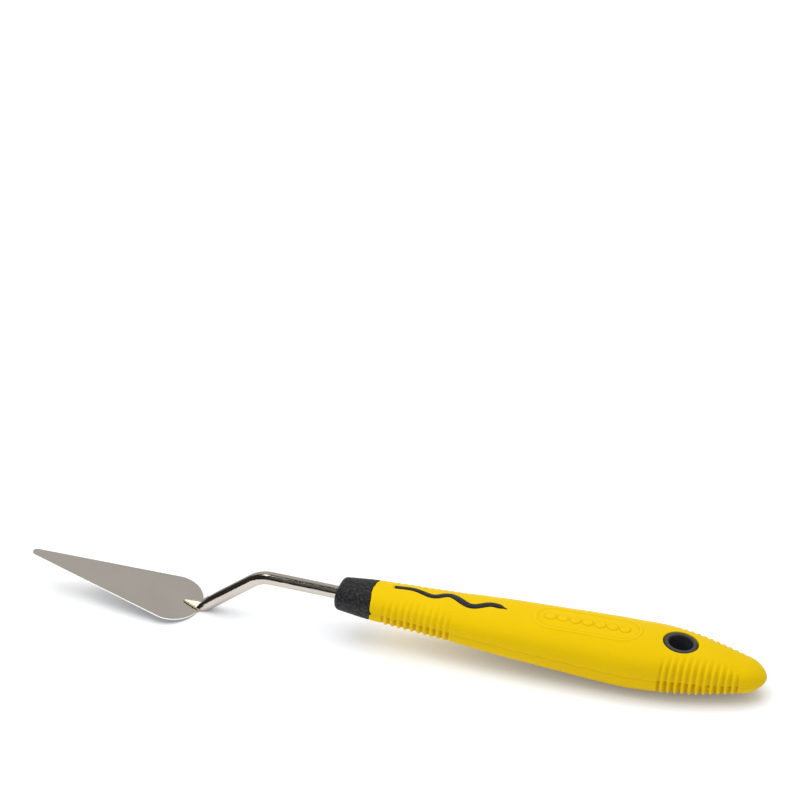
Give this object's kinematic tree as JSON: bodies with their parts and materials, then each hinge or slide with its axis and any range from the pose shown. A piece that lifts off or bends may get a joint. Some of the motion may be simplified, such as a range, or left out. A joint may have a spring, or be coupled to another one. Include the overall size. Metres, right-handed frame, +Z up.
{
  "type": "palette knife",
  "caption": "Cranked palette knife: a thin tapering spring-steel blade brazed to a bent steel rod, in a flat oval handle with a soft ribbed grip and a lined hanging hole.",
  "frame": {"origin": "middle of the underside of the bounding box, on the surface that the knife lies on", "axes": "+X towards the handle's butt, with the blade tip at -X; +Y across the tool; +Z up, out of the face that carries the wave and faces up when the knife lies on its blade heel and grip"},
  "size_m": [0.2242, 0.0244, 0.0168],
  "materials": {
    "spring_steel": "fine polished spring steel, softly mirrored",
    "braze": "as-flowed brazing metal, pale gold",
    "plated_rod": "bright nickel plate",
    "hard_core": "black, fine spark-eroded texture on the nose, smooth inside the bush",
    "soft_grip": "satin yellow thermoplastic rubber"
  },
  "bodies": {
    "knife": {"handle_core": "hard_core", "grip": "soft_grip", "shank": "plated_rod", "braze_fillet": "braze", "blade_heel": "spring_steel"},
    "blade": {"blade": "spring_steel"}
  },
  "joints": [
    {"name": "blade_flex", "type": "hinge", "parent": "knife", "child": "blade", "pos_m": [-0.0654, 0, 0.0015], "axis": [0, 1, 0], "range_deg": [-10, 20], "stiffness_Nm_per_rad": 1.9}
  ]
}
